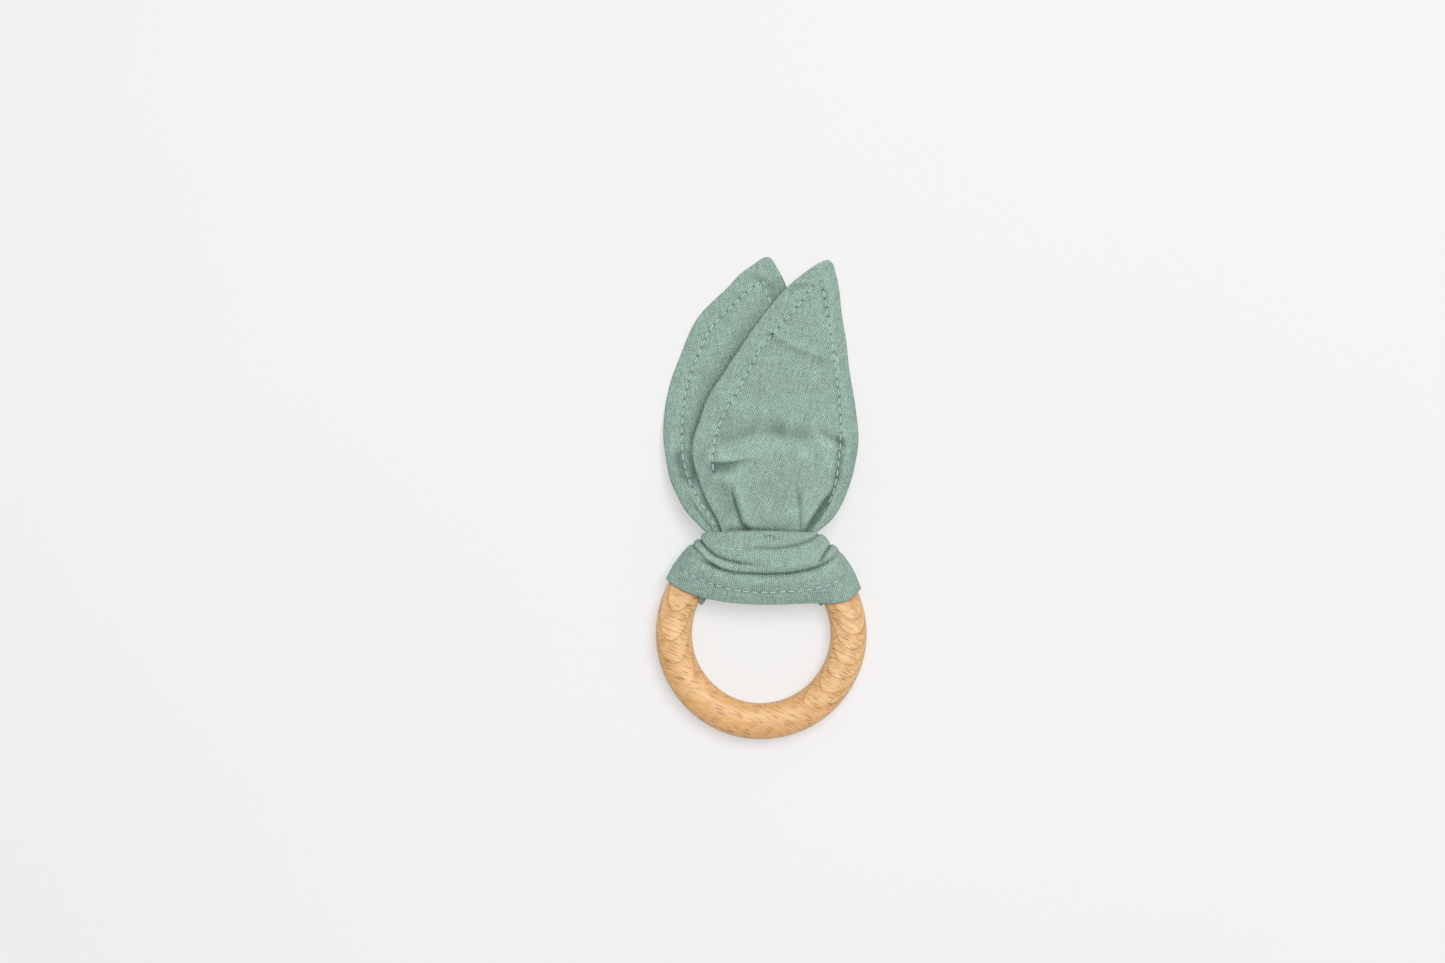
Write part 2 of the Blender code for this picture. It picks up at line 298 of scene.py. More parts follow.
def thread_tube(path, radii, sides):
    """Points and faces of a round thread along a path, closed at both ends."""
    path = np.asarray(path, float)
    tangent = np.gradient(path, axis=0)
    tangent /= np.linalg.norm(tangent, axis=1, keepdims=True)
    across = np.cross(tangent, (0, 0, 1.0))
    across /= np.maximum(np.linalg.norm(across, axis=1, keepdims=True), 1e-6)
    up = np.cross(across, tangent)
    turn = np.linspace(0, math.tau, sides, endpoint=False)
    ring = np.cos(turn)[None, :, None] * across[:, None] + np.sin(turn)[None, :, None] * up[:, None]
    points = path[:, None] + ring * np.asarray(radii)[:, None, None]
    faces = tube_faces(len(path), sides)
    faces.append(list(range(sides)))
    faces.append([(len(path) - 1) * sides + k for k in range(sides)])
    return points.reshape(-1, 3), faces


def add_thread(points, faces, path, radii, sides=8):
    tube, quads = thread_tube(path, radii, sides)
    faces += [[v + len(points) for v in quad] for quad in quads]
    points += tube.tolist()


STITCH_PITCH = 3.0
STITCH_LENGTH = 2.3
STITCH_RADIUS = 0.22
STITCH_POINTS = 9
STITCH_LEAD = 0.12  # share of the pitch left free before each stitch
STITCH_JITTER = 0.12
STITCH_LENGTHENED = (-0.2, 0.15)
STITCH_RISE = 0.3  # height of the middle of a stitch over its ends
STITCH_UNEVEN_RISE = 0.03
STITCH_DIVE = 0.2  # depth of its ends in the cloth
STITCH_FLATNESS = 3.5
STITCH_END = 0.62  # radius of its ends, as a share of the middle's
CLEARANCE = 0.02  # gap between a stitch and the table
HOLE_RADIUS = 0.34


def stitch_row(points, faces, grid, path, seed, side=1, pitch=STITCH_PITCH, length=STITCH_LENGTH):
    """Adds running stitches that lie on a cloth grid and dive into it at both ends.

    side is 1 on the face of the cloth and -1 on its back.
    """
    rng = np.random.default_rng(seed)
    run = run_lengths(path)
    f = np.linspace(0, 1, STITCH_POINTS)
    arch = 1 - np.abs(2 * f - 1) ** STITCH_FLATNESS
    radii = STITCH_RADIUS * (STITCH_END + (1 - STITCH_END) * arch)
    for k in range(int(run[-1] / pitch)):
        start = (k + STITCH_LEAD) * pitch + rng.uniform(-STITCH_JITTER, STITCH_JITTER)
        at = np.linspace(start, start + length + rng.uniform(*STITCH_LENGTHENED), STITCH_POINTS)
        plan = np.stack([np.interp(at, run, path[:, 0]), np.interp(at, run, path[:, 1])], axis=1)
        plan[:, 0] += rng.uniform(-STITCH_JITTER, STITCH_JITTER) * np.linspace(-1, 1, STITCH_POINTS)
        lift = STITCH_RISE + rng.uniform(-STITCH_UNEVEN_RISE, STITCH_UNEVEN_RISE)
        height = on_surface(grid, plan) + side * (lift * arch - STITCH_DIVE)
        height = np.maximum(height, STITCH_RADIUS + CLEARANCE)
        add_thread(points, faces, np.c_[plan, height], radii)


def holes(x, y, path, pitch):
    """1 in each needle hole of a row of stitches, fading out within half a millimetre."""
    run = run_lengths(path)
    at = np.arange(int(run[-1] / pitch) + 1) * pitch
    best = np.full(x.shape, np.inf)
    for px, py in zip(np.interp(at, run, path[:, 0]), np.interp(at, run, path[:, 1])):
        best = np.minimum(best, (x - px) ** 2 + (y - py) ** 2)
    return np.exp(-best / HOLE_RADIUS ** 2)


# ---- ears

# Outlines seen from above: y, x of the left edge, x of the right edge, from inside the knot to the tip.
REAR_OUTLINE = [
    (-23, -13, 9), (-17, -15.8, 12), (-12.5, -17.4, 13.6), (-9.5, -20.3, 14.2),
    (-7, -22.7, 14.6), (-4.5, -24.9, 15.5), (0.8, -27.9, 18.4), (6.1, -30.2, 20.6),
    (11.4, -31.3, 21.9), (16.8, -32.2, 22.4), (22.1, -32.5, 22.2), (27.4, -32.2, 21.1),
    (38, -30.2, 17.2), (48.6, -26.3, 13.2), (53.9, -24.2, 11.4), (58.2, -22.1, 10.6),
    (61.5, -19.8, 10.2), (64.5, -16.9, 9.9), (69.8, -11.3, 8.7), (75.2, -6, 6.2),
    (77.8, -2.3, 4.7), (REAR_TIP_Y, 0.9, 3.3),
]
FRONT_OUTLINE = [
    (-23, -9, 9), (-17, -11.8, 13.5), (-11.4, -13, 18.4), (-8, -14.2, 22.5),
    (-3.2, -16.9, 26), (2.5, -19.6, 28.6), (7.5, -21.2, 30.3), (11.4, -22.4, 31.2),
    (16.8, -22.9, 32.2), (21.7, -21.9, 32.4), (26.4, -20.2, 31.9), (32, -18.3, 31.2),
    (42.3, -11.9, 29.5), (52.3, -5.3, 28.4), (61.5, 1.3, 26.9), (69.8, 8.6, 26),
    (74.8, 14.6, 24.9), (77.1, 17.9, 24.3), (FRONT_TIP_Y, 21.2, 23.3),
]
# Rows of topstitching seen from above, from the knot up the left side, round the tip and down again.
REAR_STITCHING = [
    (-15.4, -9.5), (-17.6, -5.5), (-21.2, 0.3), (-24.3, 7), (-25.9, 13),
    (-26.3, 20), (-26, 28), (-24.8, 36), (-22.7, 43),
    (-19.4, 51), (-17.2, 55.6), (-13.6, 59.8), (-8.9, 64.7), (-4, 69), (-1.3, 71.2), (0.2, 72.2),
    (1.1, 71.4), (2, 68), (3.7, 64), (5, 57), (7.6, 49), (11.2, 39), (14.8, 28),
    (16, 20), (15.2, 10),
]
FRONT_STITCHING = [
    (-15.6, 8.5), (-16.2, 12), (-15.8, 16), (-14.6, 22.1), (-11.3, 29.7), (-7.6, 35.7), (-3.7, 43),
    (1.3, 51.3), (6.6, 57.4), (11.3, 62.4), (14.2, 66.2), (16.9, 69.8), (18.6, 71.6), (19.7, 71.9),
    (20.4, 69.9), (21.3, 65.5), (22.8, 57.2), (24.6, 44), (25.9, 32.4), (26.5, 21.4), (25.8, 13.5),
    (24.7, 5.5), (23.4, 0.8), (21.6, -2.9),
]
TIP_ROUNDING = 1.3
TIP_WIDTH = 0.15  # width of the outermost row, as a share of the ear's there
EAR_HALF = 0.98  # half the thickness of an ear's border
EDGE_ROUNDING = 0.9
TUCKED_ROWS = 2  # rows of the neck's cloth that end inside the front ear's cloth
TUCKED_BY = 0.08  # and how far inside
NECK_CUT_Y = -4.6  # where the front ear's cloth is split into its neck and the rest


def edges(outline, y):
    """x of both edges of an ear, closed to a round tip."""
    knots = [row[0] for row in outline]
    left = curve(knots, [row[1] for row in outline], y)
    right = curve(knots, [row[2] for row in outline], y)
    middle = (left + right) / 2
    half = (right - left) / 2
    below = np.clip(knots[-1] - y, 0, TIP_ROUNDING)
    room = np.sqrt(np.maximum(2 * TIP_ROUNDING * below - below ** 2, 0)) / TIP_ROUNDING
    half = half * np.where(below < TIP_ROUNDING, TIP_WIDTH + (1 - TIP_WIDTH) * room, 1.0)
    return middle - half, middle + half


def rim(outline, count=260):
    """An ear's outline as a path, from the knot up the left edge and down the right one."""
    share = np.sin(np.linspace(0, math.pi / 2, count // 2))
    y = outline[0][0] + (outline[-1][0] - outline[0][0]) * share
    left, right = edges(outline, y)
    return np.concatenate([np.stack([left, y], 1), np.stack([right, y], 1)[::-1]])


def drape(x, y, height):
    """The ears sink from the knot to the table, by their distance from the swing point."""
    far = np.hypot(x - PIVOT[0], y - PIVOT[1])
    return height - REAR_EAR_Z * rise(far, DRAPE_START, DRAPE_END)


# Folds on the ears' faces seen from above: points, depth, widths to the left and to the right of their
# direction, and the shares of the length over which they fade at both ends. A negative depth is a ridge.
PINCH = [(26, 12), (25, 6), (23.5, 1.8), (21.2, -1.9), (18.8, -5.6), (16.2, -9.2), (13, -13)]
FRONT_CREASES = [
    ([(-10.3, 7), (-9.6, 2), (-8.6, -2), (-7.6, -5), (-6.5, -8.4), (-4.6, -10.6), (-2.5, -14)],
     2.4, 2.2, 6, (0.4, 0)),
    ([(8.8, 8.4), (11.7, 2.6), (12.6, -4), (12.9, -12.5)], 1.15, 4, 1.6, (0.5, 0)),
    (PINCH, 2.7, 1.8, 2.6, (0.5, 0.2)),
    ([(-18.6, 11.4), (-15, 11.2), (-10, 11.3), (-5, 12.4), (2, 12.2)], 1.9, 1.3, 3, (0.25, 0.75)),
]
FRONT_WRINKLES = [
    (PINCH[2:], 2.5, 1.1, 1.1, (0.3, 0.45)),
    ([(22.5, 20.8), (26, 18.9), (26.2, 13), (25.2, 6.7), (23.9, 2.6)], 1.5, 1.6, 1.6),
    ([(-19.5, 10), (-13.5, 9.5), (-6.5, 9.8)], 1.3, 1.7, 1.7, (0.3, 0.4)),
    ([(-21.5, 17.9), (-12.8, 19.4), (-6.1, 21.9), (0, 22.9), (6, 22.3), (12, 21)],
     1.75, 8, 3.2, (0.35, 0.4)),
    ([(-0.5, 23.4), (5, 22.6), (10, 21.6), (15, 20.9), (20.5, 20.2)], 1.5, 4.2, 2.8, (0.4, 0.4)),
    ([(15.5, 23.6), (19, 22.6), (23, 20.2), (26.5, 18.6), (30, 18)], 0.8, 2, 1.3, (0.4, 0.2)),
    ([(5.3, 16.5), (5.8, 11), (6.4, 5)], 0.25, 1.3, 1.3),
    ([(1.3, 36), (0.9, 27), (0.7, 22)], -0.16, 0.8, 0.8),
    ([(11, 14.5), (18, 14)], -0.7, 3, 3, (0.2, 0.2)),
    ([(-13.8, 8), (-12.2, 0), (-9.6, -8.5)], 0.8, 2.3, 2.3),
    ([(3, 62), (12, 50), (17, 38)], -0.4, 4.5, 4.5),
    ([(1.5, 54.2), (4.5, 52.6), (9.6, 49.6), (18, 46.2), (25.6, 43.2)], 0.75, 1, 4, (0.15, 0.25)),
    ([(1.6, 54.4), (4.4, 53.4)], 0.7, 1, 1),
    ([(22, 46.6), (26.6, 45.2)], -0.5, 1.3, 1.3),
    ([(8, 67.6), (11.5, 69.8), (16.5, 70.6)], 0.75, 1.1, 1.1),
    ([(19.8, 73.2), (20.9, 69), (21.4, 63), (22.5, 57)], 0.45, 1.3, 1.3),
    ([(-13, -10.9), (-3, -10.6), (2, -11.4), (19, -11)], 0.9, 0.7, 0.7, (0.1, 0.1)),
]
BESIDE_FRONT_EAR = [(left - 0.6, y) for y, left, _ in FRONT_OUTLINE[7:-2]]
REAR_CREASES = [([(-25.5, 5), (-22.5, -2), (-18.5, -7.5), (-15, -12)], 0.9, 1.6, 3.2, (0.5, 0))]
REAR_WRINKLES = [
    ([(-28.5, 17.5), (-26.5, 13), (-24.2, 7.5), (-21, 1.5)], 2.5, 3.2, 3.2, (0.35, 0.45)),
    ([(-29.5, 26), (-29.5, 15), (-27.5, 5), (-22.5, -3)], -0.45, 1.9, 1.9),
    ([(-6, 72.8), (-1.8, 72.9), (1.6, 71.4), (3.4, 67.5), (4, 61)], 1, 1.7, 1.7),
    (BESIDE_FRONT_EAR, 1.8, 4.6, 2.5, (0.15, 0.12)),
]


ROWS = 266
ROW_CROWDING = 1.25  # above 1, rows lie closer together towards the tip
COLUMNS = 168
COLUMN_CROWDING = 0.78  # above 0, columns lie closer together towards both edges
EAR_LIFT = 1.05  # of the middle of an ear over the height that its outline is given
SEAM_STEP = 0.28  # from the border, which holds the turned-in edges, down to the panel
PANEL_CROWN = 0.4
GROOVE_WIDTH = 0.55
GROOVE_DEPTH = 0.3
PUCKERS = ((330, 0.0, 0.6), (521, 1.3, 0.4))  # along the border: angle, phase and share
PUCKER_DEPTH = 0.09
PUCKER_PLACE = 1.2  # from the row of stitches
PUCKER_WIDTH = 2.0
RIPPLES = ((0.16, 15), (0.06, 5.5))  # height and size
HOLE_DEPTH = 0.25
BACK_SHARE = 0.6  # of the face's swelling that the back follows
TABLE_GAP = 0.03
THINNEST = 0.3
SEAM_HALF = 0.1  # half the thickness left at the very rim
# lowest painted shade, which is the strongest painted highlight on ridges
STRONGEST_PAINTED_HIGHLIGHT = -0.3


def half_thickness(y, inside, along, to_stitch, in_panel):
    """Half an ear's thickness: rounded rim, border with its puckers, groove of the stitches, panel."""
    rounded = EAR_HALF * np.sqrt(1 - np.clip(1 - inside / EDGE_ROUNDING, 0, 1) ** 2)
    panel = rounded - SEAM_STEP * rise(in_panel, -0.6, 1.0) + PANEL_CROWN * rise(in_panel, 0, 8)
    groove = GROOVE_DEPTH * hump(to_stitch, GROOVE_WIDTH)
    puckers = sum(share * np.sin(along * angle + phase) for angle, phase, share in PUCKERS)
    puckers = PUCKER_DEPTH * puckers * hump(to_stitch - PUCKER_PLACE, PUCKER_WIDTH)
    return panel - (groove - puckers) * rise(y, -6, 6) * rise(inside, 0, 1.5)


def ear_shade(y, face, drawn, hole):
    """Painted shade of the cloth in its folds, needle holes and towards the knot, up to 1, and below 0 a
    painted highlight on ridges.
    """
    # painted shade in hollows and painted highlight on ridges, from the face's curvature
    hollow = smooth_heights(face, 60) - face
    deep = 0.4 * rise(drawn, 1.2, 3.4) + 0.45 * rise(drawn, 3.0, 4.4)
    # painted shade, darker towards the knot
    shade_towards_knot = 0.16 * rise(y, 19, 12)
    return np.clip(deep + shade_towards_knot + 0.7 * hole + 0.9 * hollow, STRONGEST_PAINTED_HIGHLIGHT, 1)


def ear(outline, stitching, height, creases, wrinkles, plumpness, sag, grain, seed):
    """Grids of one ear of two panels with its border: its face, its back, the weave and the shade.

    grain is how far the weave is turned, in degrees.
    """
    g = np.linspace(0, 1, ROWS)
    y_rows = outline[0][0] + (outline[-1][0] - outline[0][0]) * (1 - (1 - g) ** ROW_CROWDING)
    f = np.linspace(0, 1, COLUMNS)
    f = f - COLUMN_CROWDING * np.sin(math.tau * f) / math.tau
    left, right = edges(outline, y_rows)
    x = left[:, None] + (right - left)[:, None] * f[None, :]
    y = np.repeat(y_rows[:, None], COLUMNS, axis=1)
    inside, _, along = nearest(x, y, rim(outline))
    path = smooth_path(stitching, 160)
    to_stitch, side, _ = nearest(x, y, path)
    in_panel = np.where(side < 0, to_stitch, -to_stitch)
    half = half_thickness(y, inside, along, to_stitch, in_panel)
    hole = holes(x, y, path, STITCH_PITCH)

    drawn = drawn_in(x, y, creases, wrinkles)
    plump = plumpness * rise(y, -14, -4) * rise(y, 27, 11) * rise(inside, 2, 11)
    ripple = sum(depth * waves(x, y, size, seed + k) for k, (depth, size) in enumerate(RIPPLES))
    free = rise(y, PIVOT[1], PIVOT[1] + 8)
    middle = drape(x, y, height) + EAR_LIFT - sag(x, y)
    low = middle - half + BACK_SHARE * np.maximum(plump - 0.8 * drawn, 0) * free
    face = middle + half + (plump + ripple) * free - drawn * (0.35 + 0.65 * free) - HOLE_DEPTH * hole
    low = np.maximum(low, TABLE_GAP)
    face = np.maximum(face, low + THINNEST)
    seam = inside < 1e-3
    face[seam] = (middle + SEAM_HALF)[seam]
    low[seam] = np.maximum(middle - SEAM_HALF, TABLE_GAP)[seam]

    turn = math.radians(grain)
    weave = np.stack([x * math.cos(turn) + y * math.sin(turn), y * math.cos(turn) - x * math.sin(turn)], -1)
    return np.stack([x, y, face], -1), np.stack([x, y, low], -1), weave, ear_shade(y, face, drawn, hole)


def ear_stitches(name, stitching, grids, seed):
    """The topstitching of an ear, which shows on its face and on its back."""
    points, faces = [], []
    path = smooth_path(stitching, 400)
    stitch_row(points, faces, grids[0], path, seed)
    stitch_row(points, faces, grids[1], path, seed + 40, side=-1)
    return new_mesh(name, points, faces)


EXTRA_ROW = 0.03  # its place between the first two rows
FRONT_SAG = 2.2
REAR_SWING = 0.14  # tangent of the 8 degrees that the rear ear swings towards the front one


def rows_from(grid, cut):
    """The rows from the cut on, and one more close to it that keeps the shading even up to there."""
    beside = grid[cut] + EXTRA_ROW * (grid[cut + 1] - grid[cut])
    return np.concatenate([grid[cut:cut + 1], beside[None], grid[cut + 1:]])


def no_sag(x, y):
    return np.zeros_like(x)


def front_sag(x, y):
    """The front ear sinks where the rear one isn't under it even when it swings."""
    _, rear_right = edges(REAR_OUTLINE, np.minimum(y, REAR_TIP_Y).ravel())
    start = rear_right.reshape(y.shape) + REAR_SWING * (y - PIVOT[1]) + 1.0
    return FRONT_SAG * rise(x - start, 0, 6) * rise(y, -5, 20)


def rear_ear():
    return ear(REAR_OUTLINE, REAR_STITCHING, REAR_EAR_Z, REAR_CREASES, REAR_WRINKLES,
               plumpness=0.3, sag=no_sag, grain=8.0, seed=21)


def front_ear():
    return ear(FRONT_OUTLINE, FRONT_STITCHING, FRONT_EAR_Z, FRONT_CREASES, FRONT_WRINKLES,
               plumpness=2.4, sag=front_sag, grain=-12.0, seed=11)


# ---- knot

def bar_point(theta, phi, grown):
    """A place outside the bar: theta runs along the ring, phi round the bar from its outer side."""
    t, p = np.radians(theta), math.radians(phi)
    across = (BAR_HALF_WIDTH + grown) * math.copysign(abs(math.cos(p)) ** BAR_POWER, math.cos(p))
    up = (BAR_HALF_DEPTH + grown) * math.copysign(abs(math.sin(p)) ** BAR_POWER, math.sin(p))
    r = BAR_R + across
    return np.stack([r * np.cos(t), RING_Y + r * np.sin(t), RING_Z + up + 0 * t], -1)


# Round the bar, from the hole's upper side to the loop: phi, theta at the top edge and at the hem,
# distance of the cloth's middle from the bar at both, and the cloth's thickness at both.
LEFT_WRAP = [
    (-218, 108, 150, 1.15, 0.95, 1.7, 1.3), (-180, 106, 154.5, 1.5, 0.8, 2.4, 1.1),
    (-145, 108, 153, 1, 0.75, 1.5, 1), (-110, 112, 152, 0.7, 0.7, 1, 1),
    (-70, 115, 151.5, 0.7, 0.7, 1, 1), (-35, 118.5, 151, 1.1, 0.75, 1.7, 1.1),
    (-4, 120.3, 150.1, 1.9, 0.75, 2.9, 1.2), (28, 119.6, 150.4, 2, 0.9, 3, 1.3),
]
RIGHT_WRAP = [
    (-218, 72, 28.5, 1.15, 0.95, 1.7, 1.3), (-180, 74, 25, 1.5, 0.8, 2.4, 1.1),
    (-145, 72, 28, 1, 0.75, 1.5, 1), (-110, 68, 26, 0.7, 0.7, 1, 1),
    (-70, 65, 25, 0.7, 0.7, 1, 1), (-35, 60, 24.3, 1.1, 0.75, 1.7, 1.1),
    (-4, 57.9, 24, 2.2, 0.75, 2.9, 1.2), (28, 58.6, 23.8, 2.3, 0.9, 3, 1.3),
]
# Over the neck: x at the top edge, x and y at the hem, height of the crest and of the hem.
LOOP = [
    (-17.6, -26.6, -29.6, 15.4, 12.9), (-13.6, -20.6, -32.1, 18.2, 13.1), (-9, -13.6, -33.8, 19.5, 13.6),
    (-4.2, -6.4, -34.9, 19.85, 14), (0.6, 0.8, -35.2, 19.95, 14.1), (5.4, 8, -35, 19.85, 14),
    (10, 15, -34.6, 19.5, 13.7), (14.4, 22, -34.4, 18.4, 13.2), (18.6, 28.8, -33.2, 15.8, 12.7),
]
TOP_EDGE_Y = -10.8
TOP_EDGE_BEND = 0.0024  # how much the top edge bends down towards both sides
LOOP_BOW = 0.35
# Down the loop, as shares of its width: how far it has fallen from crest to hem, and its thickness.
LOOP_FALL = ([0, 0.2, 0.45, 0.6, 0.8, 1.0], [0.04, 0.0, 0.0, 0.12, 0.5, 1.0])
LOOP_THICKNESS = ([0, 0.45, 0.62, 0.8, 1.0], [3.1, 3.2, 2.7, 1.9, 1.5])
# Creases over the loop seen from above: points, depth, widths of the rolls above and below it, fading.
# The first point is on the left silhouette, or the last on the right one, where a crease goes round.
LOOP_CREASES = [
    ([(-21.4, -12.2), (-20.2, -13.6), (-18.2, -16.4), (-15.3, -18.9), (-13, -19.9), (-7.8, -21.4),
      (-2, -22.1), (4.6, -22.8)], 1.7, 3.8, 2.4, (0.08, 0.5)),
    ([(-9, -17.3), (-1, -16.7), (6.3, -16.5), (12.9, -15.2), (16.3, -13.9), (19.4, -11.6)],
     1.15, 3.4, 3.6, (0.4, 0)),
    ([(-23.6, -13.8), (-21.9, -16.4), (-19.4, -19), (-16.5, -21.7), (-12.5, -23.7)],
     0.9, 1.6, 1.7, (0.12, 0.3)),
    ([(-24.6, -18.2), (-22.5, -19.2), (-16.9, -21.9), (-12, -24), (-5.3, -24.9), (1.3, -25.2),
      (8, -25), (12.9, -24.2), (17.3, -23.2), (20.6, -21.8), (24.5, -19), (26.6, -17.4)],
     1.85, 3.8, 2.9, (0.22, 0.15)),
    ([(24, -14.6), (22.2, -16.4), (20.8, -18.3), (19.7, -20.2), (17.8, -22.2)], 1.7, 1.5, 2.8, (0, 0.4)),
]
WRAP_GATHERS = [(0.1, 0.5), (0.2, 0.6), (0.37, 0.8), (0.52, 0.4), (0.66, 0.6), (0.81, 0.5)]
EDGE_STITCHING = [(-15.8, -15.6), (-12, -16.6), (-9, -17), (-4, -16.9)]
HEM_STITCHING = [
    (-26.3, -23.9), (-22.2, -26), (-19.2, -27.3), (-13.3, -29.4), (-9.3, -30.4), (-2, -31.1),
    (1.3, -31.2), (7, -31), (14.3, -30.5), (18.4, -29.7), (21.6, -28.9), (25.2, -27.4), (27.2, -25.9),
]


def loop_station(column, w):
    """Middle of the cloth and its thickness down one line of the loop, from the top edge to the hem."""
    x_top, x_hem, y_hem, crest, hem = column
    x = x_top + (x_hem - x_top) * w
    y = TOP_EDGE_Y - TOP_EDGE_BEND * (x_top - 0.5) ** 2 + (y_hem - TOP_EDGE_Y) * w
    y = y + LOOP_BOW * np.sin(math.pi * w)
    z = crest - (crest - hem) * curve(*LOOP_FALL, w)
    return np.stack([x, y, z], -1), curve(*LOOP_THICKNESS, w)


def wrap_station(place, w):
    phi, top, hem, out_top, out_hem, thick_top, thick_hem = place
    theta = top + (hem - top) * w
    points = np.stack([bar_point(np.array([t]), phi, out_top + (out_hem - out_top) * v)[0]
                       for t, v in zip(theta, w)])
    return points, thick_top + (thick_hem - thick_top) * w


NECK_RADIUS = 14.2  # from the point that the ears swing about
NECK_TURN = (28, 66)  # degrees to the side of the neck, at the hem and at the top edge
NECK_HEIGHT = (14.2, 13.3)  # at the top edge and at the hem
NECK_THICKNESS = (1.6, 1.3)


def neck_end(side, w):
    """Where the tie's cloth meets the necks of the ears, under the loop."""
    turn = math.radians(NECK_TURN[0]) + math.radians(NECK_TURN[1] - NECK_TURN[0]) * (1 - w)
    x = side * NECK_RADIUS * np.sin(turn)
    y = PIVOT[1] - NECK_RADIUS * np.cos(turn)
    z = NECK_HEIGHT[0] + (NECK_HEIGHT[1] - NECK_HEIGHT[0]) * w
    return np.stack([x, y, z], -1), NECK_THICKNESS[0] + (NECK_THICKNESS[1] - NECK_THICKNESS[0]) * w


KNOT_ROWS = 84
KNOT_COLUMNS = 540
LOOP_COLUMNS = slice(140, 400)  # those that hold the loop, and so the stitches
KNOT_CROWDING = 0.55  # above 0, rows lie closer together towards both edges
LOOP_FADE = 7  # length over which the loop's creases give way to the wraps' gathers
GATHER_DEPTH = 1.3
GATHER_WIDTH = 1.8
CORE_DEPTH = 0.3  # of the dark line in the middle of a crease
CORE_WIDTH = 0.35
HEM_GROOVE_DEPTH = 0.25
KNOT_RIPPLES = ((0.14, 9, 5), (0.05, 3.5, 6))  # height, size and seed


def knot():
    """The tie: one cloth from the neck round the bar, over the neck and round the bar again."""
    w = np.linspace(0, 1, KNOT_ROWS)
    w = w - KNOT_CROWDING * np.sin(math.tau * w) / math.tau
    stations = [neck_end(-1, w)]
    stations += [wrap_station(place, w) for place in LEFT_WRAP]
    stations += [loop_station(column, w) for column in LOOP]
    stations += [wrap_station(place, w) for place in RIGHT_WRAP[::-1]]
    stations.append(neck_end(1, w))
    middles = np.stack([s[0] for s in stations])
    thick = np.stack([s[1] for s in stations])
    gaps = np.linalg.norm(np.diff(middles, axis=0), axis=-1)
    knots = np.r_[0, np.cumsum(gaps.mean(axis=1))]
    at = np.linspace(0, knots[-1], KNOT_COLUMNS)
    middle = curve(knots, middles.reshape(len(stations), -1), at).reshape(KNOT_COLUMNS, KNOT_ROWS, 3)
    before = knots[len(LEFT_WRAP) - 2]
    after = knots[len(LEFT_WRAP) + len(LOOP) + 3]
    on_loop = rise(at, before, before + LOOP_FADE) * rise(at, after, after - LOOP_FADE)
    return knot_shell(middle, curve(knots, thick, at), at, w, on_loop[:, None])


def knot_folds(x, y, at, w, width, on_loop):
    """How far the creases over the loop and the gathers round the bar draw the cloth in."""
    drawn = np.zeros_like(x)
    for points, depth, above, below, fade in LOOP_CREASES:
        d, side, along = nearest(x, y, smooth_path(points, 5 * len(points)))
        shape = roll(d, np.where(side > 0, above, below)) + CORE_DEPTH * hump(d, CORE_WIDTH)
        drawn += depth * taper(along, *fade) * shape * on_loop
    for place, depth in WRAP_GATHERS:
        wander = 0.02 * np.sin(at / 7 + 9 * place)
        d = np.abs(w[None, :] - place - wander[:, None]) * width
        drawn += depth * GATHER_DEPTH * roll(d, GATHER_WIDTH) * (1 - on_loop)
    return drawn


def knot_shell(middle, t, at, w, on_loop):
    """The knot's cloth around its middle surface, and the grid of its outer side.

    t is its thickness, at and w the places along and across it, and on_loop 1 where it is the loop.
    """
    out = grid_normals(middle)
    if out[len(out) // 2, 10, 2] < 0:
        out = -out
    down = np.linalg.norm(np.diff(middle, axis=1), axis=-1)
    down = np.concatenate([np.zeros((len(at), 1)), np.cumsum(down, axis=1)], axis=1)
    width = down[:, -1:]
    to_edge = np.minimum(down, width - down)
    rounding = np.minimum(t / 2, width / 4)
    q = np.clip(1 - to_edge / rounding, 0, 1)
    half = t / 2 * np.maximum(np.sqrt(1 - q * q), 0.08)

    x, y = middle[..., 0], middle[..., 1]
    drawn = knot_folds(x, y, at, w, width, on_loop)
    stitch_path = smooth_path(HEM_STITCHING, 90)
    to_stitch, _, _ = nearest(x, y, stitch_path)
    lower = on_loop * rise(w[None, :], 0.5, 0.6)
    hole = holes(x, y, stitch_path, STITCH_PITCH) * lower
    drawn += HEM_GROOVE_DEPTH * hump(to_stitch, GROOVE_WIDTH) * lower
    along = at[:, None] + 0 * x
    swell = sum(depth * waves(along, down, size, seed) for depth, size, seed in KNOT_RIPPLES)
    room = np.clip(drawn - swell + HOLE_DEPTH * hole, -0.3, None)
    room = np.minimum(room, 2 * half - 0.45 * np.minimum(half, 1))
    top = middle + out * (half - room)[..., None]
    low = middle - out * half[..., None]
    top[..., 2] = np.maximum(top[..., 2], 0.02)
    low[..., 2] = np.maximum(low[..., 2], 0.3)

    # painted shade in the creases and needle holes, and painted highlight on ridges
    hollow = drawn - smooth_heights(drawn, 50)
    shade = 0.3 * rise(drawn, 0.7, 2.3) + 0.35 * hole + 0.7 * hollow
    weave = np.stack([along, down - width / 2], -1)
    return cloth_shell("knot_cloth", top, low, weave, np.clip(shade, STRONGEST_PAINTED_HIGHLIGHT, 1)), top


def knot_stitches(grid):
    """The hem's topstitching, and what shows of the tie's other edge in the fold above it."""
    points, faces = [], []
    stitch_row(points, faces, grid, smooth_path(HEM_STITCHING, 200), 31)
    stitch_row(points, faces, grid, smooth_path(EDGE_STITCHING, 60), 35, pitch=2.4, length=1.7)
    return new_mesh("knot_stitches", points, faces)


FRAYED_THREADS = 7
FRAYED_FROM = (0.4, -12.3)  # x and y of the first one
FRAYED_STEP = 0.55
FRAYED_LENGTHS = (0.9, 1.8)


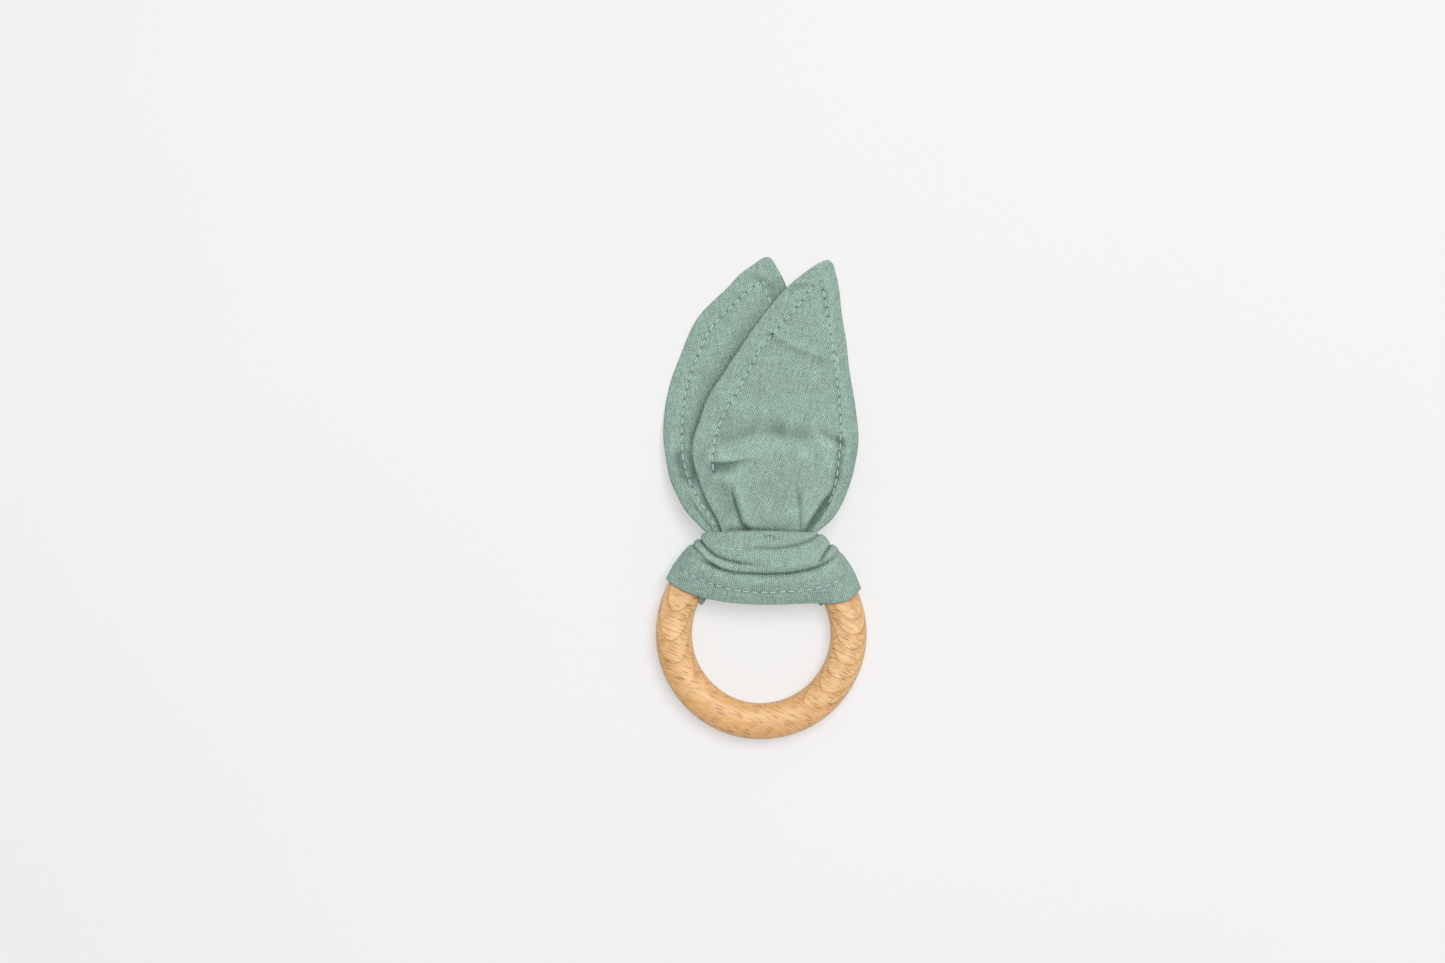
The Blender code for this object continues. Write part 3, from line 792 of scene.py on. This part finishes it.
def thread_ends(grid):
    """Frayed ends of thread that stand in the tuck at the knot's top edge."""
    rng = np.random.default_rng(4)
    points, faces = [], []
    for k in range(FRAYED_THREADS):
        start = np.array([FRAYED_FROM[0] + FRAYED_STEP * k + rng.uniform(-0.3, 0.3),
                          FRAYED_FROM[1] + rng.uniform(-0.4, 0.3)])
        turn = rng.uniform(-2.6, -0.5)
        run = np.linspace(0, rng.uniform(*FRAYED_LENGTHS), 8)
        bend = turn + 0.5 * run
        plan = start + np.stack([np.cos(bend) * run, np.sin(bend) * run], 1)
        height = on_surface(grid, plan) + 0.1 + 0.2 * np.sin(run * 1.7)
        height[0] -= 0.4
        add_thread(points, faces, np.c_[plan, height], np.linspace(0.13, 0.06, 8), 6)
    return new_mesh("knot_thread_ends", points, faces)


# ---- ring

RING_WOBBLE = ((0.04, 3, 0.7), (0.03, 7, 2.0))  # depth, number of waves and phase


def beech_ring(around=240, section=72):
    """The turned ring: a bar with a slightly shouldered round section, bent to a circle."""
    a = np.linspace(0, math.tau, around, endpoint=False)
    p = np.linspace(0, math.tau, section, endpoint=False)
    across = BAR_HALF_WIDTH * np.sign(np.cos(p)) * np.abs(np.cos(p)) ** BAR_POWER
    up = BAR_HALF_DEPTH * np.sign(np.sin(p)) * np.abs(np.sin(p)) ** BAR_POWER
    wobble = sum(depth * np.sin(turns * a + phase) for depth, turns, phase in RING_WOBBLE)
    r = BAR_R + across[None, :] + wobble[:, None] * np.abs(np.cos(p))[None, :]
    x = r * np.cos(a)[:, None]
    y = RING_Y + r * np.sin(a)[:, None]
    z = RING_Z + up[None, :] + 0 * r
    return new_mesh("beech_ring", np.stack([x, y, z], -1).reshape(-1, 3),
                    tube_faces(around, section, around=True))


# ---- materials

class Nodes:
    """Short names for building a material's node tree."""

    def __init__(self, name):
        self.material = bpy.data.materials.new(name)
        self.material.use_nodes = True
        self.tree = self.material.node_tree
        self.shader = self.tree.nodes["Principled BSDF"]

    def add(self, kind, **settings):
        node = self.tree.nodes.new(kind)
        for key, value in settings.items():
            setattr(node, key, value)
        return node

    def put(self, value, socket):
        """Links a socket, or sets a number or colour."""
        if isinstance(value, bpy.types.NodeSocket):
            self.tree.links.new(value, socket)
        else:
            socket.default_value = value

    def feed(self, node, **values):
        """Links or sets inputs by name, with _ for a space."""
        for name, value in values.items():
            self.put(value, node.inputs[name.replace("_", " ")])

    def fed(self, kind, values, **settings):
        """The first output of a new node, with its inputs linked or set in their order."""
        node = self.add(kind, **settings)
        for value, socket in zip(values, node.inputs):
            self.put(value, socket)
        return node.outputs[0]

    def math(self, operation, *values):
        return self.fed("ShaderNodeMath", values, operation=operation)

    def vector(self, operation, *values):
        return self.fed("ShaderNodeVectorMath", values, operation=operation)

    def join(self, x, y, z=0.0):
        return self.fed("ShaderNodeCombineXYZ", (x, y, z))

    def times(self, a, b):
        return self.math("MULTIPLY", a, b)

    def line(self, value, slope, start):
        """start + slope * value."""
        return self.math("ADD", start, self.times(value, slope))

    def total(self, *terms):
        """Sum of values, each times its factor."""
        result = self.times(*terms[0])
        for value, factor in terms[1:]:
            result = self.line(value, factor, result)
        return result

    def millimetres(self):
        """Place on the object in millimetres."""
        return self.scaled(self.add("ShaderNodeTexCoord").outputs["Object"], 1 / MM)

    def scaled(self, place, factor):
        result = self.vector("SCALE", place)
        result.node.inputs["Scale"].default_value = factor
        return result

    def stretched(self, axes, factors):
        """A place whose coordinates are three values, each times its factor."""
        return self.join(*(self.times(a, f) for a, f in zip(axes, factors)))

    def noise(self, place, scale, detail=2.0, rough=0.5):
        node = self.add("ShaderNodeTexNoise")
        self.feed(node, Vector=place, Scale=scale, Detail=detail, Roughness=rough)
        return node.outputs["Fac"]

    def blend(self, share, a, b, mode="MIX"):
        node = self.add("ShaderNodeMix", data_type="RGBA", blend_type=mode)
        self.feed(node, Factor=share, A=a, B=b)
        return node.outputs["Result"]

    def ramp(self, value, low, high):
        """value from low to high as 0 to 1, held at both ends."""
        node = self.add("ShaderNodeMapRange", interpolation_type="SMOOTHSTEP")
        self.feed(node, Value=value, From_Min=low, From_Max=high)
        return node.outputs["Result"]

    def bump(self, height, distance, strength=1.0, **under):
        """A normal; under may be Normal=, that of a bump beneath it."""
        node = self.add("ShaderNodeBump")
        self.feed(node, Height=height, Distance=distance, Strength=strength, **under)
        return node.outputs["Normal"]

    def split(self, value):
        node = self.add("ShaderNodeSeparateXYZ")
        self.put(value, node.inputs[0])
        return node.outputs

    def finish(self, colour, roughness, normal):
        self.feed(self.shader, Base_Color=colour, Roughness=roughness, Normal=normal)
        return self.material


THREAD_PITCH = 0.55
THREAD_ROUNDNESS = 2.2  # above 2, a thread is narrower than its pitch and leaves a gap
CLOTH = (0.322, 0.458, 0.385, 1.0)
# painted shade in the gaps between threads
CLOTH_GAP_SHADE = (0.035, 0.065, 0.052, 1.0)
THREAD_DRIFT = 3.2  # in threads


def thread_profile(n, place):
    """Round height across the thread at a place counted in threads, and its number."""
    number = n.math("FLOOR", place)
    off = n.math("SUBTRACT", n.math("FRACT", place), 0.5)
    q = n.times(off, THREAD_ROUNDNESS)
    height = n.math("SQRT", n.math("MAXIMUM", n.math("SUBTRACT", 1.0, n.times(q, q)), 0.0))
    return height, number


def crossing(n, along, other_number):
    """Wave of a thread over and under the threads that it crosses."""
    return n.math("SINE", n.times(n.math("ADD", along, other_number), math.pi))


def muslin():
    """Plain-woven cotton: uneven threads over and under each other, with little gaps painted dark as shade.
    """
    n = Nodes("sage_muslin")
    place = n.scaled(n.add("ShaderNodeUVMap", uv_map="weave").outputs["UV"], 1 / (THREAD_PITCH * MM))
    drift = n.vector("SUBTRACT", n.noise(place, 0.06, 3.0).node.outputs["Color"], (0.5, 0.5, 0.5))
    drift = n.vector("MULTIPLY", drift, (THREAD_DRIFT, THREAD_DRIFT, 0.0))
    place = n.vector("ADD", place, drift)
    u, v, _ = n.split(place)
    warp, warp_number = thread_profile(n, u)
    weft, weft_number = thread_profile(n, v)
    warp = n.times(warp, n.line(crossing(n, v, warp_number), 0.36, 0.62))
    weft = n.times(weft, n.line(crossing(n, u, weft_number), -0.36, 0.62))
    warp_slub = n.noise(n.stretched((warp_number, v, 0.0), (3.7, 0.12, 1.0)), 1.0, 1.0)
    weft_slub = n.noise(n.stretched((weft_number, u, 9.0), (5.3, 0.12, 1.0)), 1.0, 1.0)
    warp = n.times(warp, n.line(warp_slub, 0.9, 0.55))
    weft = n.times(weft, n.line(weft_slub, 0.9, 0.55))
    height = n.math("MAXIMUM", warp, weft)
    warp_on_top = n.math("GREATER_THAN", warp, weft)
    tone = n.add("ShaderNodeMix", data_type="FLOAT")
    n.feed(tone, Factor=warp_on_top, A=weft_slub, B=warp_slub)
    mottle = n.noise(place, 0.55, 2.0, 0.6)
    cloud = n.noise(place, 0.05, 2.0)
    fibre = n.noise(place, 4.0, 2.0, 0.7)
    # fold_shade is painted shade of folds, needle holes and the cloth near the knot, and a painted highlight
    # on ridges
    fold_shade = n.add("ShaderNodeAttribute", attribute_name="fold_shade").outputs["Fac"]
    light = n.line(mottle, 0.84, 0.60)
    # threads on top are painted lighter on the warp than on the weft: a painted sheen
    for value, slope, start in ((warp_on_top, 0.34, 0.83), (tone.outputs["Result"], 0.44, 0.78),
                                (cloud, 0.14, 0.93), (fibre, 0.2, 0.9), (fold_shade, -0.6, 1.0)):
        light = n.times(light, n.line(value, slope, start))
    colour = n.blend(n.ramp(height, 0.15, 0.7), CLOTH_GAP_SHADE, CLOTH)
    colour = n.blend(1.0, colour, n.join(light, light, light), "MULTIPLY")
    soft = n.bump(mottle, 0.00025, 0.7)
    normal = n.bump(n.line(fibre, 0.25, height), 0.00022, 0.75, Normal=soft)
    n.feed(n.shader, Specular_IOR_Level=0.15, Sheen_Weight=0.12, Sheen_Roughness=0.5)
    return n.finish(colour, n.line(fibre, 0.12, 0.86), normal)


BEECH_DEEP = (0.71, 0.42, 0.18, 1.0)
BEECH_PALE = (0.87, 0.58, 0.295, 1.0)
BEECH_CLOUD = (0.74, 0.42, 0.19, 1.0)
BEECH_WARM = (0.74, 0.39, 0.14, 1.0)
BEECH_LATE = (0.56, 0.265, 0.09, 1.0)
BEECH_PORE = (0.42, 0.22, 0.095, 1.0)
BEECH_FLECK = (0.26, 0.115, 0.04, 1.0)
LAYER_SPACING = 1.95  # millimetres between growth layers
LAYER_WANDER = 2.0
GRAIN_TURN = math.radians(-23)


def ray_flecks(n, axes, stretch, fewer):
    """Short dark dashes along the grain, from the cells of a stretched pattern."""
    cells = n.add("ShaderNodeTexVoronoi", feature="F1")
    n.feed(cells, Vector=n.stretched(axes, stretch), Scale=1.0)
    chosen = n.math("GREATER_THAN", n.split(cells.outputs["Color"])[0], fewer)
    dash = n.math("SUBTRACT", 1.0, n.ramp(cells.outputs["Distance"], 0.25, 0.34))
    return n.times(dash, chosen)


def late_wood(n, layer):
    """Each growth layer deepens slowly, ends in a thin dark line and stops at once."""
    step = n.math("FRACT", layer)
    stop = n.math("SUBTRACT", 1.0, n.ramp(step, 0.97, 1.0))
    slow = n.times(n.ramp(step, 0.3, 0.97), stop)
    thin = n.times(n.ramp(step, 0.88, 0.96), stop)
    return n.line(slow, 0.55, thin)


def beech():
    """Oiled beech: tilted growth layers, fine pores and the short dark flecks of its rays."""
    n = Nodes("oiled_beech")
    place = n.millimetres()
    x, y, z = n.split(place)
    bend = n.times(n.math("SUBTRACT", n.noise(place, 0.035), 0.5), LAYER_WANDER)
    xy = n.times(x, y)
    xx = n.times(x, x)
    layer = n.total((y, 0.29), (x, 0.17), (xy, 0.0025), (xx, 0.0018), (z, 0.94), (bend, 1.0))
    layer = n.math("DIVIDE", layer, LAYER_SPACING)
    tone = n.add("ShaderNodeTexWhiteNoise", noise_dimensions="1D")
    n.feed(tone, W=n.math("FLOOR", layer))

    along = n.total((x, math.cos(GRAIN_TURN)), (y, math.sin(GRAIN_TURN)))
    across = n.total((y, math.cos(GRAIN_TURN)), (x, -math.sin(GRAIN_TURN)))
    axes = (along, across, z)
    faint = n.times(ray_flecks(n, axes, (0.27, 5.0, 0.5), 0.8), 0.75)
    fleck = n.math("MAXIMUM", ray_flecks(n, axes, (0.18, 3.9, 0.45), 0.5), faint)
    pores = n.noise(n.stretched(axes, (0.7, 4.5, 3.0)), 1.0, 3.0, 0.65)
    silk = n.noise(n.stretched(axes, (0.16, 1.1, 1.0)), 1.0, 3.0, 0.6)
    cloud = n.noise(place, 0.06, 2.0)

    colour = n.blend(n.ramp(silk, 0.36, 0.64), BEECH_DEEP, BEECH_PALE)
    colour = n.blend(n.times(n.ramp(cloud, 0.4, 0.65), 0.35), colour, BEECH_CLOUD)
    warm = n.ramp(n.line(x, 0.35, y), -42.0, -84.0)
    colour = n.blend(n.times(warm, 0.55), colour, BEECH_WARM)
    plain = n.ramp(n.line(x, 0.25, y), -69.0, -61.0)
    late = n.times(late_wood(n, layer), n.line(plain, 0.8, 0.2))
    late = n.times(late, n.line(tone.outputs["Value"], 0.4, 0.58))
    colour = n.blend(late, colour, BEECH_LATE)
    colour = n.blend(n.times(n.ramp(pores, 0.51, 0.71), 0.36), colour, BEECH_PORE)
    colour = n.blend(fleck, colour, BEECH_FLECK)
    normal = n.bump(n.total((pores, -0.6), (fleck, -0.5)), 0.00008, 0.5)
    n.feed(n.shader, Specular_IOR_Level=0.5)
    return n.finish(colour, n.line(silk, 0.16, 0.36), normal)


# THREAD_DARK is the painted shade in the twist's grooves, THREAD_LIGHT its ridges
THREAD_DARK = (0.33, 0.485, 0.455)
THREAD_LIGHT = (0.52, 0.71, 0.68)


def sewing_thread(name="sage_sewing_thread", light=1.0):
    """Two-ply cotton thread with a twist across it, the grooves of the twist painted darker as shade."""
    n = Nodes(name)
    place = n.millimetres()
    wave = n.add("ShaderNodeTexWave", wave_type="BANDS", bands_direction="DIAGONAL")
    n.feed(wave, Vector=place, Scale=0.9, Distortion=2.0)
    fuzz = n.noise(place, 6.0, 3.0, 0.7)
    height = n.line(fuzz, 0.6, wave.outputs["Fac"])
    dark, pale = ([light * c for c in colour] + [1.0] for colour in (THREAD_DARK, THREAD_LIGHT))
    n.feed(n.shader, Sheen_Weight=0.1, Specular_IOR_Level=0.25)
    # painted shade: the lower parts of the twist are darker
    colour = n.blend(n.ramp(height, 0.2, 1.1), dark, pale)
    return n.finish(colour, n.line(fuzz, 0.2, 0.7), n.bump(height, 0.00008, 0.6))


WHITE = (1.0, 1.0, 1.0, 1.0)
PAPER_COOL = (0.385, 0.385, 0.39, 1.0)
PAPER_PALE = (0.40, 0.40, 0.40, 1.0)
PAPER_GLOW = 0.464


def paper():
    """The pale sheet that the ring lies on, with an even glow of its own."""
    n = Nodes("pale_paper")
    place = n.add("ShaderNodeTexCoord").outputs["Object"]
    fibre = n.noise(place, 900.0, 3.0)
    cloud = n.noise(place, 6.0, 1.0)
    colour = n.blend(cloud, PAPER_COOL, PAPER_PALE)
    n.feed(n.shader, Emission_Color=WHITE, Emission_Strength=PAPER_GLOW, Specular_IOR_Level=0.0)
    return n.finish(colour, n.line(fibre, 0.1, 0.85), n.bump(fibre, 0.00003, 0.3))


def wear(made, material):
    made.data.materials.append(material)


# ---- floor, light, camera

FLOOR_HALF = 3.0  # metres, as all lengths in this section
KEY_LIGHT_PLACE = (0.26, 0.34, 1.5)
CAMERA_PLACE = (-0.0128, 0.0053, 1.139)


def floor():
    h = FLOOR_HALF
    mesh = bpy.data.meshes.new("paper_floor")
    mesh.from_pydata([(-h, -h, 0), (h, -h, 0), (h, h, 0), (-h, h, 0)], [], [(0, 1, 2, 3)])
    made = link_object("paper_floor", mesh)
    wear(made, paper())


def studio():
    """A round soft lamp at the upper right that points at the object, in an even pale surround."""
    scene = bpy.context.scene
    world = bpy.data.worlds.new("studio")
    world.use_nodes = True
    background = world.node_tree.nodes["Background"]
    background.inputs["Color"].default_value = WHITE
    background.inputs["Strength"].default_value = 0.42
    scene.world = world
    light = bpy.data.lights.new("key_light", "AREA")
    light.shape = "DISK"
    light.size = 0.9
    light.energy = 18.9
    light.color = (1.0, 0.995, 0.985)
    made = link_object("key_light", light)
    made.location = KEY_LIGHT_PLACE
    made.rotation_euler = (-Vector(KEY_LIGHT_PLACE)).to_track_quat("-Z", "Y").to_euler()
    scene.view_settings.view_transform = "Standard"


def camera():
    """Looks straight down from 1.14 m, a little to the upper left of the object's middle."""
    data = bpy.data.cameras.new("overhead")
    data.lens = 85.0
    made = link_object("overhead", data)
    made.location = CAMERA_PLACE
    bpy.context.scene.camera = made


# ---- the model


def build():
    cloth = muslin()
    thread = sewing_thread()

    ring = beech_ring()
    wear(ring, beech())
    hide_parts("wooden_ring")
    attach(ring, "ring")

    knot_cloth, knot_grid = knot()
    wear(knot_cloth, cloth)
    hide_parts("knot_loop", "left_wrap", "right_wrap")
    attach(knot_cloth, "tie")
    loop_grid = knot_grid[LOOP_COLUMNS]
    hem = knot_stitches(loop_grid)
    wear(hem, thread)
    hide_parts("knot_topstitch")
    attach(hem, "tie")
    ends = thread_ends(loop_grid)
    # the frayed ends are a darker copy of the thread, painted shade of the tuck they stand in
    wear(ends, sewing_thread("thread_in_painted_shade", 0.5))
    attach(ends, "tie")

    grids = rear_ear()
    rear = cloth_shell("rear_ear_cloth", *grids)
    wear(rear, cloth)
    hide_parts("rear_ear_back_panel", "rear_ear_face_panel", "rear_ear_edge_seam")
    rear_row = ear_stitches("rear_ear_stitches", REAR_STITCHING, grids, 32)
    wear(rear_row, thread)
    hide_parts("rear_ear_topstitch")
    for piece in (rear, rear_row):
        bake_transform(piece)

    grids = front_ear()
    cut = int(np.argmin(np.abs(grids[0][:, 0, 1] - NECK_CUT_Y)))
    neck_grids = [grid[:cut + 1 + TUCKED_ROWS].copy() for grid in grids]
    neck_grids[0][cut + 1:, :, 2] -= TUCKED_BY
    neck_grids[1][cut + 1:, :, 2] += TUCKED_BY
    neck = cloth_shell("front_ear_neck_cloth", *neck_grids)
    wear(neck, cloth)
    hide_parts("front_ear_neck")
    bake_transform(neck)
    front = cloth_shell("front_ear_cloth", *[rows_from(grid, cut) for grid in grids])
    wear(front, cloth)
    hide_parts("front_ear_back_panel", "front_ear_face_panel", "front_ear_edge_seam")
    front_row = ear_stitches("front_ear_stitches", FRONT_STITCHING, grids, 33)
    wear(front_row, thread)
    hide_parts("front_ear_topstitch")
    for piece in (front, front_row):
        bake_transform(piece)


floor()
studio()
camera()
build()
